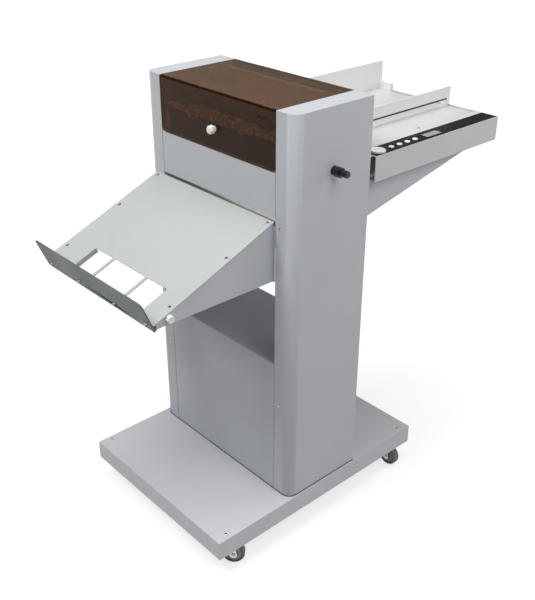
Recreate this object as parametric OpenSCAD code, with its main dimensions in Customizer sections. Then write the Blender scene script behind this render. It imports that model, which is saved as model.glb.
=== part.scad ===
// Floor-standing paper creasing machine: a folded sheet base on four casters, two tall side
// housings with a low cabinet between them, a creasing head under a tinted lifting cover,
// a delivery tray in front and a feed table with side guides behind.
// X runs across the machine, -Y is the delivery side, +Y is the feed side, +Z is up.

/* [Base] */
// Width of the base platform
base_w = 466; // [450:2:520]
// Depth of the base platform
base_d = 616; // [560:2:700]
// Height of the platform's top above the floor
base_top = 100; // [96:1:120]
// Height of the folded skirt
skirt_h = 46; // [36:1:50]
// Thickness of the platform's sheet
base_sheet = 2; // [1.5:0.1:3]
// Inward lip along the skirt's lower edge
base_lip = 6; // [4:1:8]
// Inset of the corner screws from the platform's sides
base_screw_in_x = 14; // [12:1:16]
// Inset of the corner screws from the platform's front and rear
base_screw_in_y = 29; // [22:1:34]

/* [Rails and casters] */
// Width of the cross rails under the platform
rail_w = 56; // [50:1:60]
// Height of the cross rails
rail_h = 24; // [18:1:25]
// Wall of the cross rails
rail_wall = 2.5; // [2:0.5:3]
// Inset of the caster's swivel axis from the platform's sides
caster_in_x = 37; // [35:1:50]
// Inset of the caster's swivel axis from the platform's front and rear
caster_in_y = 46; // [46:1:78]
// Radius of the caster wheel
wheel_r = 25; // [20:1:25]
// Width of the caster wheel's tread
wheel_w = 19; // [14:1:22]
// Horizontal trail of the caster
caster_trail = 18; // [10:1:19]
// Radius of the wheel axle
axle_r = 3; // [2.5:0.5:4]
// Radius of the swivel pin
kingpin_r = 5; // [4:0.5:6]

/* [Side housings] */
// Width over both side housings
body_w = 458; // [440:2:466]
// Depth of the side housings
body_d = 208; // [190:2:240]
// Height of the side housings above the platform
body_h = 875; // [830:5:950]
// Thickness of one side housing
cheek_t = 50; // [46:1:60]
// Radius of the front outer corner
cheek_round = 22; // [10:1:26]
// Sheet of the housing covers and panels
cover_sheet = 1.5; // [1:0.1:2]
// Thickness of the side frame plates
frame_t = 4; // [3:0.5:6]
// Height of the upper front screw
screw_high_z = 747; // [700:1:800]
// Height of the lower front screw
screw_low_z = 335; // [300:1:400]
// Distance of the front screws from the housing's inner edge
screw_in = 13; // [10:1:18]

/* [Cabinet and panels] */
// Height of the lower cabinet's top above the floor
cabinet_top = 434; // [400:1:500]
// Gap between a panel and the side housings
panel_gap = 1; // [0.5:0.1:2]
// Outer bend radius of the cabinet's front and rear edges
bend_r = 3; // [2:0.5:5]
// Lower edge of the upper front panel
panel_low = 764; // [764:1:772]
// Upper edge of the upper front panel
panel_high = 855; // [848:1:862]
// Underside of the upper unit
belly_z = 700; // [660:1:720]
// Upper edge of the rear panel
rear_high = 955; // [920:1:955]

/* [Tinted cover] */
// Thickness of the acrylic sheet
acrylic = 3; // [2:0.5:4]
// Outer radius of the bend at the front
acrylic_bend = 6; // [4.5:0.5:12]
// Radius of the lower corners of the front sheet
acrylic_corner = 14; // [4:1:20]
// Gap between the cover and each side housing
cover_gap = 1.5; // [1:0.1:3]
// Radius of the hinge pins
pin_r = 3; // [2:0.5:4]
// Height of the lift knob's centre
knob_z = 900; // [885:1:940]
// Radius of the lift knob
knob_r = 9.5; // [8:0.5:13]
// Length of the lift knob
knob_len = 15; // [12:1:22]

/* [Creasing head] */
// Place of the eccentric shaft, front of the machine's middle
crank_y = -80; // [-82:1:-78]
// Height of the eccentric shaft
crank_z = 910; // [902:1:914]
// Radius of the eccentric shaft
crank_r = 7; // [5:0.5:8]
// Radius of the eccentric discs
cam_r = 13; // [11:0.5:13]
// Offset of the eccentric discs
cam_offset = 3; // [2:0.5:3]
// Thickness of the knife beam
beam_t = 10; // [6:1:12]
// Place of the slotted tie beam
tie_y = -30; // [-40:1:-26]
// Lower edge of the slotted tie beam
tie_z = 905; // [900:1:915]
// Height of the bed under the knife
bed_z = 776; // [774:1:777]
// Slope of the bed and the paper path, degrees
path_slope = 29; // [20:1:32]

/* [Transport] */
// Height of the upper transport shaft
upper_z = 850; // [846:1:854]
// Teeth of each transport gear
gear_teeth = 20; // [18:1:20]
// Module of the transport gears
gear_module = 2; // [1.8:0.1:2]
// Radius of the transport and feed shafts
shaft_r = 6; // [5:0.5:7]
// Direction from the upper to the lower transport shaft, degrees from straight down
nip_tilt = 23; // [10:1:30]
// Gap between the transport rollers
nip_gap = 0.2; // [0.1:0.1:1]
// Radius of the rubber feed wheels
feed_wheel_r = 24; // [20:1:24]
// Place of the feed shaft
feed_y = 78; // [74:1:78]
// Radius of the belt pulleys
pulley_r = 12; // [9:0.5:12]
// Thickness of the belt
belt_t = 2; // [1:0.5:3]
// Reach of the hand knob beyond the side housing
hand_knob_len = 38; // [30:1:60]

/* [Delivery tray] */
// Reach of the tray deck past the left frame's inner face
tray_over = 27; // [10:1:35]
// Gap between the tray deck and the right frame's inner face
tray_short = 3; // [1:1:20]
// Length of the tray deck along its slope
tray_len = 315; // [300:1:360]
// Slope of the tray deck, degrees
tray_slope = 22; // [16:0.5:24]
// Height of the tray deck where it meets the machine
tray_z = 757; // [745:1:760]
// Thickness of the tray's sheet
tray_sheet = 2; // [1.5:0.1:3]
// Height of the stop plate above the deck
stop_up = 53; // [30:1:70]
// Depth of the stop plate below the deck
stop_down = 17; // [17:1:26]
// Width of the finger opening in the deck
window_w = 244; // [180:2:280]
// Length of the finger opening along the slope
window_l = 62; // [40:1:70]
// Distance of the deck's two ribs from its middle
rib_x = 56; // [40:1:70]
// Travel of the stop plate along the slope
stop_travel = 80; // [40:1:90]

/* [Feed table] */
// Width of the feed table
table_w = 462; // [440:2:466]
// Height of the feed table's deck
table_z = 850; // [846:1:852]
// Distance of the table's front edge from the machine's middle
table_front = 118; // [112:1:126]
// Distance of the table's rear edge from the machine's middle
table_rear = 530; // [480:1:600]
// Height of the folded side rails
rail_side_h = 54; // [40:1:60]
// Thickness of the table's sheet
table_sheet = 2; // [1.5:0.1:2]
// Height of the right guide's top above the deck
right_guide_h = 44; // [30:1:60]
// Height of the left guide's top above the deck
left_guide_h = 67; // [40:1:80]
// Inner face of the right guide
right_guide_x = 95; // [90:1:110]
// Inner face of the left guide
left_guide_x = -113; // [-130:1:-100]

/* [Control strip] */
// Width of the black control strip
strip_w = 40; // [38:1:41]
// Length of the control strip
strip_l = 404; // [380:1:404]
// Thickness of the control strip
strip_t = 0.8; // [0.5:0.1:1.5]
// Radius of the large button
start_r = 16.5; // [12:0.5:16.5]
// Radius of the small buttons
button_r = 6; // [4:0.5:8]
// Spacing of the small buttons
button_pitch = 25; // [20:1:27]

/* [Fasteners] */
// Radius of the screws' shanks
screw_r = 1.8; // [1.5:0.1:2]
// Radius of the screws' heads
head_r = 3.6; // [3:0.1:4.5]

/* [Hidden] */
$fn = 64;
fit = 0.2;
run = 0.05;
grey = "#b4bac1";
light = "#d3d6d4";
steel = "#9a9da0";
rubber = "#2b2b2d";
inner_x = body_w / 2 - cheek_t;
caster_x = base_w / 2 - caster_in_x;
caster_y = base_d / 2 - caster_in_y;
tray_w = 2 * inner_x + tray_over - tray_short;
tray_x = -(tray_over + tray_short) / 2;
front_y = -body_d / 2;
rear_y = body_d / 2;
top_z = base_top + body_h;
panel_w = 2 * (inner_x - panel_gap);
rail_top = base_top - base_sheet;
rail_low = rail_top - rail_h;
plate_t = 3;
fork_top = rail_low - plate_t - 2.4;
knife_stroke = 2 * cam_offset;
bearing_r = 11;
beam_top = min(crank_z + cam_offset - cam_r - 0.2 - cam_offset / 4, crank_z - bearing_r - 0.2);
blade_tip = bed_z + knife_stroke - 1;
blade_h = 18;
disc_x = [-96, 62];
disc_t = 8;
pitch_d = gear_teeth * gear_module;
lower_y = pitch_d * sin(nip_tilt);
lower_z = upper_z - pitch_d * cos(nip_tilt);
roller_r = (pitch_d - nip_gap) / 2;
feed_z = table_z + feed_wheel_r + 0.4;
bearing_t = 8;
gear_t = 8;
pulley_t = 10;
hinge_y = rear_y - 7;
hinge_z = top_z - acrylic - 6.5;
tray_end = tray_len + 0.3;
stop_t = 2.5;
gusset_in = 2;
gusset_t = 1.5;
gusset_low = tray_z - tray_end * sin(tray_slope) - 11;
arm_t = 2;
arm_from = 165;
stud_s = 282;
stud_h = -10.5;
tongue_x = [29 - tray_w / 2, -57, 69, tray_w / 2 - 20];
stud_r = 2.5;
slot_y = table_rear - 10;
slot_w = 6;
strip_x = table_w / 2 - 1.5 - strip_w;
strip_y = table_front + 3;
start_x = strip_x + strip_w * 0.54;
button_x = strip_x + strip_w * 0.57;
start_y = strip_y + 24;
buttons_y = start_y + 40;
display_l = 50;
display_w = 21;
display_y = buttons_y + 3 * button_pitch + 29;
mid_x = (body_w / 2 + hand_knob_len - base_w / 2) / 2;
stop_front = front_y - (tray_end + stop_t) * cos(tray_slope) - stop_up * sin(tray_slope);
mid_y = (table_rear + stop_front) / 2;
caster_turn = [0, 45, 100, 0];
bracket_screw_z = [720, 815];
inlet_x = -110;
inlet_z = base_top + 60;
bracket_side = table_w / 2 - 29;
table_screw_x = bracket_side - 34;
table_screw_y = 326;

// The origin is the floor point under the middle of the overall box.
module machine() {
    translate([-mid_x, -mid_y, 0]) children();
}

// A pair on both sides of the machine's centre plane.
module both_sides() {
    children();
    mirror([1, 0, 0]) children();
}

// A profile drawn in Y and Z, drawn out along X from x0.
module along_x(x0, len) {
    translate([x0, 0, 0]) rotate([90, 0, 90]) linear_extrude(len) children();
}

// A round bar along X.
module bar_x(y, z, r, x0, x1) {
    translate([x0, y, z]) rotate([0, 90, 0]) cylinder(r = r, h = x1 - x0);
}

// The tray's own frame: -Y runs down the deck, +Z is square to it.
module on_tray() {
    translate([0, front_y, tray_z]) rotate([tray_slope, 0, 0]) children();
}

// A point of the tray's frame in the machine's Y and Z.
function tray_point(s, h) = [
    front_y - s * cos(tray_slope) - h * sin(tray_slope),
    tray_z - s * sin(tray_slope) + h * cos(tray_slope)
];

// A bar with round ends, centred, long side along X.
module stadium(len, wid) {
    square([len - wid, wid], center = true);
    for (side = [-1, 1]) translate([side * (len - wid) / 2, 0]) circle(d = wid);
}

// A rectangle whose two upper corners are round.
module round_top(w, h, r) {
    translate([-w / 2, 0]) square([w, h - r]);
    translate([-w / 2 + r, h - r - 0.01]) square([w - 2 * r, r + 0.01]);
    for (side = [-1, 1]) translate([side * (w / 2 - r), h - r]) circle(r);
}

// ---- base platform ----

module at_base_corners(x, y) {
    for (sx = [-1, 1]) for (sy = [-1, 1]) translate([sx * x, sy * y, 0]) children();
}

module base_pan() machine() color(grey) difference() {
    translate([-base_w / 2, -base_d / 2, base_top - skirt_h]) cube([base_w, base_d, skirt_h]);
    translate([-base_w / 2 + base_sheet, -base_d / 2 + base_sheet, base_top - skirt_h + base_sheet])
        cube([base_w - 2 * base_sheet, base_d - 2 * base_sheet, skirt_h - 2 * base_sheet]);
    translate([
        -base_w / 2 + base_sheet + base_lip,
        -base_d / 2 + base_sheet + base_lip,
        base_top - skirt_h - 1
    ]) cube([
        base_w - 2 * (base_sheet + base_lip),
        base_d - 2 * (base_sheet + base_lip),
        base_sheet + 2
    ]);
    at_base_corners(base_w / 2 - base_screw_in_x, base_d / 2 - base_screw_in_y)
        translate([0, 0, rail_top - 1]) cylinder(r = screw_r + fit, h = base_sheet + 2);
    for (sx = [-1, 1]) for (sy = [-1, 1]) translate([
        sx * (base_w / 2 - base_sheet - 0.35) - 0.35,
        sy * (base_d / 2 - base_sheet / 2) - base_sheet / 2 - 0.5,
        base_top - skirt_h - 1
    ]) cube([0.7, base_sheet + 1, skirt_h - 3]);
}

module base_rails() machine() color(steel) difference() {
    rail_l = base_w - 2 * base_sheet - 2;
    for (side = [-1, 1]) translate([-rail_l / 2, side * caster_y - rail_w / 2, rail_low])
        difference() {
            cube([rail_l, rail_w, rail_h]);
            translate([-1, rail_wall, rail_wall])
                cube([rail_l + 2, rail_w - 2 * rail_wall, rail_h - 2 * rail_wall]);
        }
    at_base_corners(base_w / 2 - base_screw_in_x, base_d / 2 - base_screw_in_y)
        translate([0, 0, rail_top - rail_wall - 1]) cylinder(r = screw_r + fit, h = rail_wall + 2);
}

// ---- casters ----

module caster_plates() machine() color("silver") at_base_corners(caster_x, caster_y) {
    translate([-27, -27, rail_low - plate_t]) cube([54, 54, plate_t]);
    translate([0, 0, rail_low - plate_t - 2]) cylinder(r = 17, h = 2);
    translate([0, 0, fork_top - 6]) cylinder(r = kingpin_r, h = 10);
    translate([0, 0, fork_top - 8]) cylinder(r = kingpin_r + 3, h = 3.2);
}

module at_caster(i) {
    sx = i == 1 || i == 3 ? 1 : -1;
    sy = i < 2 ? -1 : 1;
    translate([sx * caster_x, sy * caster_y, 0]) rotate([0, 0, caster_turn[i]]) children();
}

module fork_leg() {
    rotate([90, 0, 0]) linear_extrude(2.5) union() {
        polygon([
            [-17, fork_top], [17, fork_top], [caster_trail + 8, wheel_r + 1],
            [caster_trail - 8, wheel_r - 1], [-17, fork_top - 9]
        ]);
        translate([caster_trail, wheel_r]) circle(r = 8);
    }
}

module caster_fork(i) machine() color("silver") at_caster(i) {
    half = wheel_w / 2 + 1.6;
    difference() {
        union() {
            translate([0, half + 2.5, 0]) fork_leg();
            translate([0, -half, 0]) fork_leg();
            translate([0, 0, fork_top - 3.4]) cylinder(r = 17, h = 3.4);
            translate([-17, -half - 2.5, fork_top - 3.4]) cube([34, 2 * half + 5, 3.4]);
        }
        translate([0, 0, fork_top - 10]) cylinder(r = kingpin_r + run, h = 20);
    }
    translate([caster_trail, half + 4.5, wheel_r]) rotate([90, 0, 0]) cylinder(r = axle_r, h = 2 * half + 9);
}

module caster_wheel(i) machine() color("dimgray") at_caster(i)
    translate([caster_trail, 0, wheel_r]) rotate([90, 0, 0]) rotate_extrude() difference() {
        hub = wheel_w / 2 + 1.5;
        polygon([
            [axle_r + run, -hub], [9, -hub], [10, -wheel_w / 2 + 3], [wheel_r - 6, -wheel_w / 2 + 3],
            [wheel_r - 5, -wheel_w / 2], [wheel_r - 2, -wheel_w / 2], [wheel_r, -wheel_w / 2 + 3],
            [wheel_r, wheel_w / 2 - 3], [wheel_r - 2, wheel_w / 2], [wheel_r - 5, wheel_w / 2],
            [wheel_r - 6, wheel_w / 2 - 3], [10, wheel_w / 2 - 3], [9, hub], [axle_r + run, hub]
        ]);
    }

// ---- side housings ----

module cheek_plan(shrink) {
    translate([inner_x - shrink, front_y + shrink])
        square([cheek_t - cheek_round + shrink, body_d - 2 * shrink]);
    translate([inner_x - shrink, front_y + cheek_round])
        square([cheek_t, body_d - cheek_round - shrink]);
    translate([body_w / 2 - cheek_round, front_y + cheek_round]) circle(cheek_round - shrink);
}

module front_screw_places() {
    for (z = [screw_low_z, screw_high_z]) translate([inner_x + screw_in, front_y, z])
        rotate([90, 0, 0]) children();
}

module side_cover() {
    difference() {
        translate([0, 0, base_top]) linear_extrude(body_h) cheek_plan(0);
        translate([0, 0, base_top - 1]) linear_extrude(body_h - cover_sheet + 1) cheek_plan(cover_sheet);
        front_screw_places() translate([0, 0, -cover_sheet - 1]) cylinder(r = screw_r + fit, h = cover_sheet + 2);
        for (z = bracket_screw_z) translate([inner_x + 10, rear_y + 1, z]) rotate([90, 0, 0])
            cylinder(r = screw_r + fit, h = cover_sheet + 2);
    }
}

module left_side_cover() machine() color(grey) mirror([1, 0, 0]) side_cover();

module right_side_cover() machine() color(grey) difference() {
    side_cover();
    bar_x(0, upper_z, shaft_r + 3, body_w / 2 - 5, body_w / 2 + 1);
}

// Steel plate behind each cover: it carries the bearings and guides the knife beam's ends.
module side_frame() {
    edge = cover_sheet + fit;
    difference() {
        union() {
            translate([inner_x, front_y + edge, base_top])
                cube([frame_t, body_d - 2 * edge, body_h - edge]);
            translate([inner_x, front_y + edge + 20, base_top]) cube([30, body_d - 2 * edge - 40, 3]);
            for (z = [screw_low_z, screw_high_z]) translate([inner_x + 1, front_y + edge, z - 8])
                cube([screw_in + 8, 8, 16]);
            for (z = bracket_screw_z) translate([inner_x + 1, rear_y - edge - 8, z - 8])
                cube([18, 8, 16]);
            for (side = [-1, 1])
                translate([inner_x - 8, crank_y + side * (beam_t / 2 + 1.1) - 1, blade_tip + 8])
                    cube([8.01, 2, beam_top - blade_tip - 8]);
        }
        front_screw_places() translate([0, 0, -12]) cylinder(r = screw_r + fit, h = 12);
        for (z = bracket_screw_z) translate([inner_x + 10, rear_y, z]) rotate([90, 0, 0])
            cylinder(r = screw_r + fit, h = 12);
        for (p = [[crank_y, crank_z], [0, upper_z], [lower_y, lower_z], [feed_y, feed_z]])
            bar_x(p[0], p[1], bearing_r + fit, inner_x - 1, inner_x + frame_t + 1);
        bar_x(hinge_y, hinge_z, pin_r + fit, inner_x - 1, inner_x + frame_t + 1);
    }
}

module left_side_frame() machine() color(steel) mirror([1, 0, 0]) side_frame();

module right_side_frame() machine() color(steel) side_frame();

// ---- cabinet and panels ----

module lower_cabinet() machine() color(grey) difference() {
    h = cabinet_top - base_top;
    along_x(-panel_w / 2, panel_w) difference() {
        translate([0, base_top]) round_top(body_d, h, bend_r);
        translate([0, base_top - 1]) round_top(body_d - 2 * cover_sheet, h - cover_sheet + 1, bend_r - cover_sheet);
    }
    inlet_hole();
}

module front_panel() machine() color(grey) {
    along_x(-panel_w / 2, panel_w) {
        translate([front_y, panel_low]) square([cover_sheet, panel_high - panel_low]);
        translate([front_y, panel_high - cover_sheet]) square([12, cover_sheet]);
        translate([front_y, panel_low]) square([5, cover_sheet]);
    }
    both_sides() translate([inner_x - 3, front_y + 0.5, panel_low + 12])
        cube([2.7, 13, panel_high - panel_low - 24]);
}

module rear_panel() machine() color(grey) difference() {
    along_x(-panel_w / 2, panel_w) {
        translate([rear_y - cover_sheet, belly_z]) square([cover_sheet, rear_high - belly_z]);
        translate([front_y + 4, belly_z]) square([body_d - 4, cover_sheet]);
        translate([front_y + 4, belly_z]) square([cover_sheet, 14]);
        translate([rear_y - 12, rear_high - cover_sheet]) square([12, cover_sheet]);
    }
    translate([-inner_x + 8, rear_y - 5, table_z - table_sheet - 3])
        cube([2 * inner_x - 16, 10, feed_wheel_r + 21]);
}

// ---- creasing head ----

module top_beam() machine() color(steel) difference() {
    len = 2 * (inner_x - fit);
    high = tie_z + 35;
    along_x(-len / 2, len) {
        translate([tie_y - 2, tie_z]) square([2, high - tie_z]);
        translate([tie_y - 2, high - 2]) square([28, 2]);
        translate([tie_y - 2, tie_z]) square([14, 2]);
    }
    for (x = [-138, -73, -8, 60, 125]) translate([x, tie_y + 1, tie_z + 16])
        rotate([90, 0, 0]) linear_extrude(5) stadium(36, 8);
    for (x = [-88, 31]) translate([x, tie_y + 14, high - 3]) cylinder(r = screw_r + fit, h = 4);
}

module bed_beam() machine() color(steel) {
    len = 2 * (inner_x - fit);
    front = crank_y - 16;
    back = crank_y + 18;
    slope = tan(path_slope);
    along_x(-len / 2, len) difference() {
        polygon([
            [front, bed_z - 40], [back, bed_z - 40], [back, bed_z + 18 * slope],
            [crank_y + 1.5, bed_z + 1.5 * slope], [crank_y + 1.5, bed_z - 3.5],
            [crank_y - 1.5, bed_z - 3.5], [crank_y - 1.5, bed_z - 1.5 * slope],
            [front, bed_z - 16 * slope]
        ]);
        translate([front + 4, bed_z - 36]) square([back - front - 8, 20]);
    }
}

module knife_beam() machine() color("silver") difference() {
    len = 2 * (inner_x - 0.5);
    translate([-len / 2, crank_y - beam_t / 2, blade_tip + blade_h - 4])
        cube([len, beam_t, beam_top - blade_tip - blade_h + 4]);
    translate([-len / 2 - 1, crank_y - 0.65, blade_tip - 1]) cube([len + 2, 1.3, blade_h + 1.05]);
    for (x = disc_x) translate([x - 1, crank_y - beam_t, crank_z - cam_r - 3.5]) cube([disc_t + 2, 2 * beam_t, 20]);
    for (x = [-120, -60, 0, 60, 120]) translate([x, crank_y + beam_t, blade_tip + blade_h + 28])
        rotate([90, 0, 0]) linear_extrude(3 * beam_t) stadium(38, 18);
}

module crease_blade() machine() color("lightgray")
    translate([-inner_x + 14, crank_y - 0.6, blade_tip]) cube([2 * inner_x - 28, 1.2, blade_h]);

module eccentric_shaft() machine() color("silver") {
    bar_x(crank_y, crank_z, crank_r, -inner_x - frame_t - 14, inner_x + frame_t + 3);
    for (x = [-28, 2]) bar_x(crank_y, crank_z + cam_offset, cam_r, x, x + 20);
    for (x = disc_x) bar_x(crank_y, crank_z, cam_r + 3, x, x + disc_t);
    for (x = [-84, 70]) bar_x(crank_y, crank_z, crank_r + 3, x, x + 14);
}

module crease_motor() machine() color("dimgray") difference() {
    x1 = -inner_x - frame_t - 2.2;
    motor_r = 19;
    union() {
        bar_x(crank_y, crank_z, motor_r, x1 - 30, x1);
        for (a = [45, 135, 225, 315])
            bar_x(crank_y + 16.4 * cos(a), crank_z + 16.4 * sin(a), 2.4, x1 - 1, x1 + 2.2 - fit);
    }
    bar_x(crank_y, crank_z, crank_r + run, x1 - 16, x1 + 1);
}

// ---- transport ----

function gear_outline(n, m, turn) = [
    for (i = [0 : n - 1]) for (k = [[-0.31, -1.25], [-0.12, 1], [0.12, 1], [0.31, -1.25]])
        let(a = turn + (i + k[0]) * 360 / n, r = m * (n / 2 + k[1])) [r * cos(a), r * sin(a)]
];

module transport_gear(turn, x0) {
    translate([x0, 0, 0]) rotate([90, 0, 90]) linear_extrude(gear_t) difference() {
        polygon(gear_outline(gear_teeth, gear_module, turn));
        circle(shaft_r);
    }
}

gear_x = -inner_x - frame_t - 4 - gear_t;
pulley_x = gear_x - 2 - pulley_t;

module pulley(y, z) {
    bar_x(y, z, pulley_r, pulley_x, pulley_x + pulley_t);
    for (x = [pulley_x, pulley_x + pulley_t - 1]) bar_x(y, z, pulley_r + 3, x, x + 1);
}

module feed_shaft() machine() color("silver") {
    bar_x(feed_y, feed_z, shaft_r, pulley_x - 2, inner_x + frame_t + 3);
    pulley(feed_y, feed_z);
}

module rubber_sleeve(y, z, r, x, w) {
    translate([x - w / 2, y, z]) rotate([0, 90, 0]) difference() {
        cylinder(r = r, h = w);
        translate([0, 0, -1]) cylinder(r = shaft_r, h = w + 2);
    }
}

module feed_wheels() machine() color(rubber) for (x = [-40, 40])
    rubber_sleeve(feed_y, feed_z, feed_wheel_r, x, 25);

module upper_shaft() machine() color("silver") {
    bar_x(0, upper_z, shaft_r, pulley_x - 2, body_w / 2 + 20);
    pulley(0, upper_z);
}

module upper_rollers() machine() color(rubber) for (x = [-110, 0, 110])
    rubber_sleeve(0, upper_z, roller_r, x, 60);

module upper_gear() machine() color("gainsboro")
    translate([0, 0, upper_z]) transport_gear(nip_tilt - 90, gear_x);

module hand_knob() machine() color("#1c1c1e") {
    x0 = body_w / 2 + 2;
    difference() {
        union() {
            bar_x(0, upper_z, 8.5, x0, x0 + 18);
            for (a = [30 : 120 : 270]) bar_x(7 * cos(a), upper_z + 7 * sin(a), 4, x0 + 2, x0 + 17);
            bar_x(0, upper_z, 7, x0 + 17, x0 + hand_knob_len - 4);
            translate([x0 + hand_knob_len - 4.01, 0, upper_z]) rotate([0, 90, 0])
                cylinder(r1 = 7, r2 = 5.5, h = 2.01);
        }
        bar_x(0, upper_z, shaft_r, x0 - 1, body_w / 2 + 20);
    }
}

module lower_shaft() machine() color("silver")
    bar_x(lower_y, lower_z, shaft_r, gear_x - 1, inner_x + frame_t + 16);

module lower_rollers() machine() color(rubber) for (x = [-110, 0, 110])
    rubber_sleeve(lower_y, lower_z, roller_r, x, 60);

module lower_gear() machine() color("gainsboro")
    translate([0, lower_y, lower_z]) transport_gear(nip_tilt + 90 + 180 / gear_teeth, gear_x);

module feed_motor() machine() color("dimgray") difference() {
    x0 = inner_x + frame_t + 2.2;
    motor_r = 28;
    union() {
        bar_x(lower_y, lower_z, motor_r, x0, x0 + 36);
        for (a = [45, 135, 225, 315])
            bar_x(lower_y + 22 * cos(a), lower_z + 22 * sin(a), 3, x0 - 2.2 + fit, x0 + 1);
    }
    bar_x(lower_y, lower_z, shaft_r + run, x0 - 1, x0 + 16);
}

module feed_belt() machine() color(rubber) {
    span = norm([feed_y, feed_z - upper_z]);
    tilt = atan2(feed_z - upper_z, feed_y);
    translate([pulley_x + 1.5, 0, upper_z]) rotate([90, 0, 90]) rotate([0, 0, tilt])
        translate([span / 2, 0, 0]) linear_extrude(pulley_t - 3) difference() {
            stadium(span + 2 * (pulley_r + fit + belt_t), 2 * (pulley_r + fit + belt_t));
            stadium(span + 2 * (pulley_r + fit), 2 * (pulley_r + fit));
        }
}

module flanged_bearing(y, z, bore) {
    difference() {
        union() {
            bar_x(y, z, bearing_r, inner_x - bearing_t + frame_t, inner_x + frame_t + 0.5);
            bar_x(y, z, bearing_r + 2, inner_x + frame_t, inner_x + frame_t + 1.8);
        }
        bar_x(y, z, bore + run, inner_x - bearing_t, inner_x + frame_t + 3);
    }
}

module shaft_bearings() machine() color("goldenrod") both_sides() {
    flanged_bearing(crank_y, crank_z, crank_r);
    flanged_bearing(0, upper_z, shaft_r);
    flanged_bearing(lower_y, lower_z, shaft_r);
    flanged_bearing(feed_y, feed_z, shaft_r);
}

// Two folded guide plates carry the sheet from the table to the rollers and on to the bed.
module paper_chute() machine() color(light) {
    len = 2 * (inner_x - fit);
    rise = tan(path_slope);
    back = crank_y + 19;
    along_x(-len / 2, len) {
        polygon([
            [60, table_z - 0.5], [60, table_z - 2], [36, table_z - 7], [36, table_z - 20],
            [34.5, table_z - 20], [34.5, table_z - 5.8]
        ]);
        polygon([
            [back, bed_z + 19 * rise], [-12, bed_z + (-12 - crank_y) * rise],
            [-12, bed_z + (-12 - crank_y) * rise - 1.6], [back + 1.5, bed_z + 20.5 * rise - 1.6],
            [back + 1.5, bed_z - 10], [back, bed_z - 10]
        ]);
    }
}

// ---- delivery tray ----

function tray_side(side) = tray_x + side * (tray_w / 2 - gusset_in);

module gusset(x0) {
    tip = tray_len - 6;
    under = -tray_sheet - fit - gusset_t / 2;
    along_x(x0, gusset_t) polygon([
        [front_y - fit, gusset_low], [front_y - fit, tray_point(1, under)[1] - 0.4],
        tray_point(2, under), tray_point(tip, under), [tray_point(tip, under)[0], gusset_low]
    ]);
}

module tray_bracket() machine() color(grey) difference() {
    union() {
        left = tray_side(-1);
        right = tray_side(1);
        gusset(left);
        gusset(right - gusset_t);
        translate([left, front_y - fit - gusset_t, gusset_low])
            cube([inner_x - fit - left, gusset_t, tray_z - gusset_low - 9]);
        on_tray() for (x = [left, right - 14])
            translate([x, -tray_len + 14, -tray_sheet - fit - gusset_t]) cube([14, tray_len - 17, gusset_t]);
    }
    tray_screw_places() translate([0, 0, -8]) cylinder(r = screw_r + fit, h = 8);
    both_sides() translate([inner_x + screw_in, front_y + 1, screw_high_z]) rotate([90, 0, 0])
        cylinder(r = head_r + 0.6, h = 5);
    on_tray() translate([0, -stud_s, stud_h]) rotate([0, 90, 0])
        cylinder(r = stud_r + run, h = 2 * tray_w, center = true);
}

module tray_screw_places() {
    on_tray() for (side = [-1, 1]) for (s = [8, 120, 266])
        translate([tray_x + side * (tray_w / 2 - 12), -s, 0]) children();
}

module tray_deck() machine() color(light) difference() {
    on_tray() {
        difference() {
            translate([tray_x - tray_w / 2, -tray_len, -tray_sheet]) cube([tray_w, tray_len, tray_sheet]);
            translate([tray_x + 15 - window_w / 2, -tray_len + 15, -tray_sheet - 1])
                cube([window_w, window_l, tray_sheet + 2]);
        }
        for (side = [-1, 1]) translate([tray_x + 15 + side * rib_x - 3.5, -tray_len + 14, -tray_sheet])
            cube([7, window_l + 2, tray_sheet]);
        for (side = [-1, 1])
            translate([tray_x + 15 + side * (window_w / 2 + 0.75) - 0.75, -tray_len + 15, -11])
                cube([1.5, window_l, 10]);
        for (x = tongue_x) translate([tray_x + x - 3.5, -tray_len - 8, -tray_sheet]) cube([7, 9, tray_sheet - 0.3]);
    }
    tray_screw_places() translate([0, 0, -tray_sheet - 1]) cylinder(r = screw_r + fit, h = tray_sheet + 2);
    tray_screw_places() translate([0, 0, -tray_sheet]) cylinder(r1 = screw_r + fit - 0.01, r2 = head_r, h = tray_sheet);
    translate([-base_w, front_y - fit, tray_z - 20]) cube([2 * base_w, 20, 40]);
}

module stop_arm(x0) {
    translate([x0, 0, 0]) difference() {
        translate([0, -tray_end - 0.01, -stop_down + 1]) cube([arm_t, tray_end - arm_from, stop_down - 5]);
        translate([-1, -stud_s + stop_travel + 3, stud_h]) rotate([0, 90, 0]) cylinder(r = stud_r + fit, h = 9);
        translate([-1, -stud_s, stud_h]) rotate([0, 90, 0]) cylinder(r = stud_r + fit, h = 9);
        translate([-1, -stud_s, stud_h - stud_r - fit]) cube([9, stop_travel + 3, 2 * (stud_r + fit)]);
    }
}

module paper_stop() machine() color("#5d6668") on_tray() {
    wide = tray_w - 6;
    corner = 9;
    translate([tray_x, -tray_end, -stop_down]) rotate([90, 0, 0]) linear_extrude(stop_t) difference() {
        round_top(wide, stop_up + stop_down, corner);
        for (x = tongue_x) translate([x, stop_down - tray_sheet / 2]) stadium(12, 4.6);
    }
    stop_arm(tray_side(1) - gusset_t - fit - arm_t);
    stop_arm(tray_side(-1) + gusset_t + fit);
}

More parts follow.
